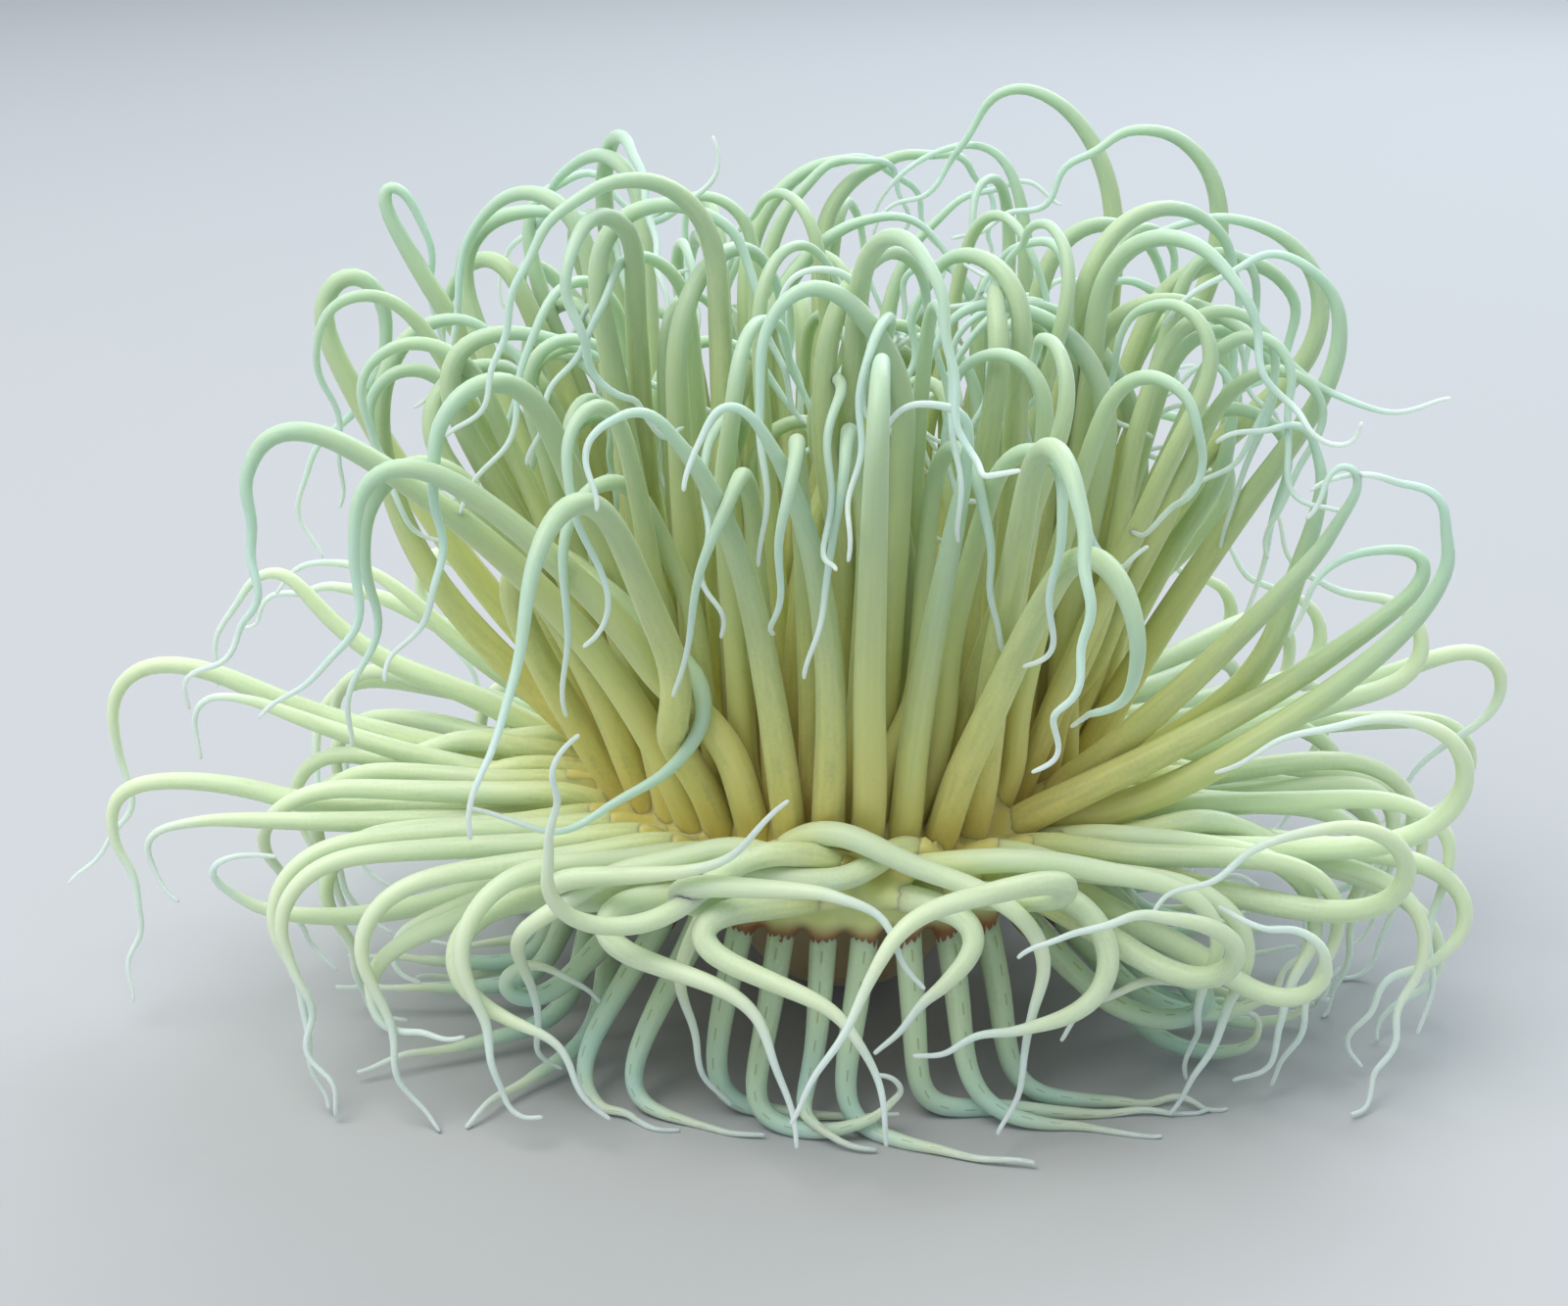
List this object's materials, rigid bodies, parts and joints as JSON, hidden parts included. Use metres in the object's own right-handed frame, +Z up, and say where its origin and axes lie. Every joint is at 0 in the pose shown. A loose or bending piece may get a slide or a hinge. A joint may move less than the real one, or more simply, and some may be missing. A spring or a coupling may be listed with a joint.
{
  "type": "tube anemone",
  "caption": "Life-size still model of a tube anemone: long curling tentacles in cycles round a low oral disc, its column laid along the floor behind.",
  "frame": {"origin": "on the floor, under the middle of the whole animal", "axes": "+Z up, -Y towards the viewer's side, +X to the viewer's right; the column lies towards +Y"},
  "size_m": [0.2952, 0.2964, 0.1762],
  "materials": {
    "disc_flesh": "moist satin skin, ochre",
    "column_flesh": "moist satin skin, buff to brown",
    "inner_tentacles": "translucent satin skin, olive base to sea-green tip",
    "upright_tentacles": "translucent satin skin, olive-yellow base to pale mint tip",
    "spreading_tentacles": "translucent satin skin, pale yellow-mint",
    "hanging_tentacles": "translucent satin skin, grey-green core and pale rims"
  },
  "bodies": {
    "root": {"oral_disc": "disc_flesh", "column_upper": "column_flesh", "column_middle": "column_flesh", "column_lower": "column_flesh", "crown_01": "inner_tentacles", "crown_02": "inner_tentacles", "crown_03": "inner_tentacles", "crown_04": "inner_tentacles", "crown_05": "inner_tentacles", "crown_06": "inner_tentacles", "crown_07": "inner_tentacles", "crown_08": "inner_tentacles", "crown_09": "inner_tentacles", "crown_10": "inner_tentacles", "crown_11": "inner_tentacles", "crown_12": "inner_tentacles", "crown_13": "inner_tentacles", "crown_14": "inner_tentacles", "brush_01": "upright_tentacles", "brush_02": "upright_tentacles", "brush_03": "upright_tentacles", "brush_04": "upright_tentacles", "brush_05": "upright_tentacles", "brush_06": "upright_tentacles", "brush_07": "upright_tentacles", "brush_08": "upright_tentacles", "brush_09": "upright_tentacles", "brush_10": "upright_tentacles", "brush_11": "upright_tentacles", "brush_12": "upright_tentacles", "brush_13": "upright_tentacles", "brush_14": "upright_tentacles", "spread_01": "spreading_tentacles", "spread_02": "spreading_tentacles", "spread_03": "spreading_tentacles", "spread_04": "spreading_tentacles", "spread_05": "spreading_tentacles", "spread_06": "spreading_tentacles", "spread_07": "spreading_tentacles", "spread_08": "spreading_tentacles", "spread_09": "spreading_tentacles", "spread_10": "spreading_tentacles", "spread_11": "spreading_tentacles", "spread_12": "spreading_tentacles", "spread_13": "spreading_tentacles", "spread_14": "spreading_tentacles", "skirt_01": "hanging_tentacles", "skirt_02": "hanging_tentacles", "skirt_03": "hanging_tentacles", "skirt_04": "hanging_tentacles", "skirt_05": "hanging_tentacles", "skirt_06": "hanging_tentacles", "skirt_07": "hanging_tentacles", "skirt_08": "hanging_tentacles", "skirt_09": "hanging_tentacles", "skirt_10": "hanging_tentacles", "skirt_11": "hanging_tentacles", "skirt_12": "hanging_tentacles", "skirt_13": "hanging_tentacles", "skirt_14": "hanging_tentacles"}
  },
  "joints": []
}
